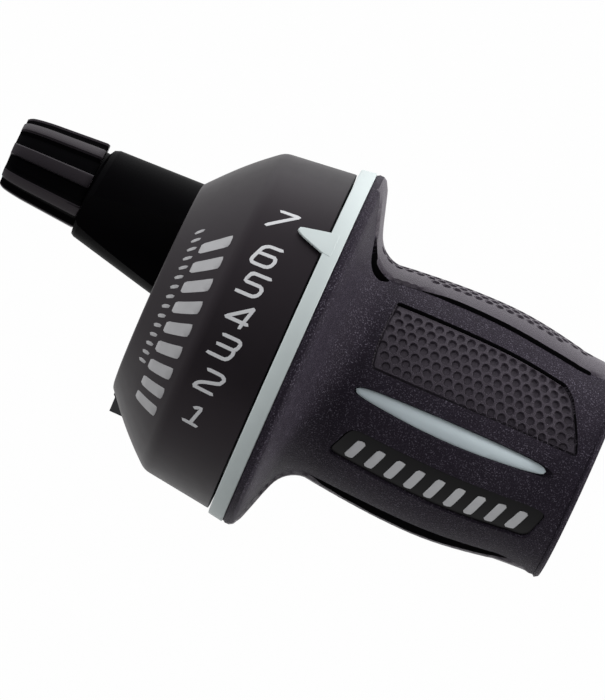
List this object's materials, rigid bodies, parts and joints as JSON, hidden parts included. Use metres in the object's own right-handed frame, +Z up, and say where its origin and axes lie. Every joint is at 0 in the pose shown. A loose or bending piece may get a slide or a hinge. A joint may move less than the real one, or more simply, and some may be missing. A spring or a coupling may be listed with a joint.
{
  "type": "bicycle twist grip shifter",
  "caption": "Right-hand twist grip shifter: a dial drum with a cable arm and barrel adjuster, and a flanged rubber grip that turns on a bearing tube round the handlebar.",
  "frame": {"origin": "on the handlebar's axis, at the face where the indicator ring meets the flange of the grip", "axes": "+X outboard along the bar, +Y forward, +Z up; the dial leans back 45 degrees toward the rider"},
  "size_m": [0.0909, 0.0524, 0.0524],
  "materials": {
    "housing_black": "satin moulded",
    "cover_charcoal": "fine satin texture",
    "screw_steel": "plain",
    "bolt_black": "black oxide",
    "nut_steel": "zinc plated",
    "spring_steel": "polished",
    "washer_nylon": "natural",
    "guide_liner": "natural",
    "insert_brass": "turned",
    "stop_steel": "plain",
    "barrel_black": "satin moulded",
    "spool_black": "moulded",
    "core_black": "moulded",
    "grip_rubber": "fine speckled",
    "ring_grey": "satin",
    "lens_grey": "satin grey",
    "label_black": "gloss",
    "clip_steel": "plain",
    "washer_black": "moulded"
  },
  "bodies": {
    "housing": {"clamp_housing": "housing_black", "dial_cover": "cover_charcoal", "cover_screw": "screw_steel", "clamp_bolt": "bolt_black", "clamp_nut": "nut_steel", "detent_spring": "spring_steel", "thrust_washer": "washer_nylon", "cable_guide": "guide_liner", "adjuster_insert": "insert_brass", "retaining_clip": "clip_steel", "end_washer": "washer_black"},
    "grip": {"cable_spool": "spool_black", "grip_core": "core_black", "grip_cover": "grip_rubber", "indicator_ring": "ring_grey", "lens_front": "lens_grey", "lens_back": "lens_grey", "label_front": "label_black", "label_back": "label_black"},
    "cable_stop": {"casing_stop": "stop_steel"},
    "adjuster": {"adjuster_barrel": "barrel_black"}
  },
  "joints": [
    {"name": "grip_twist", "type": "hinge", "parent": "housing", "child": "grip", "pos_m": [0, 0, 0], "axis": [1, 0, 0], "range_deg": [0, 72], "deforming": ["detent_spring"]},
    {"name": "adjuster_slide", "type": "slide", "parent": "housing", "child": "cable_stop", "axis": [-1, 0, 0], "range_m": [0, 0.004]},
    {"name": "adjuster_turn", "type": "hinge", "parent": "cable_stop", "child": "adjuster", "pos_m": [-0.0422, 0.01738, -0.00502], "axis": [-1, 0, 0], "range_deg": [0, 1440]}
  ],
  "couplings": [
    {"joint": "adjuster_turn", "follows": "adjuster_slide", "rad_per_m": 6283.2}
  ]
}
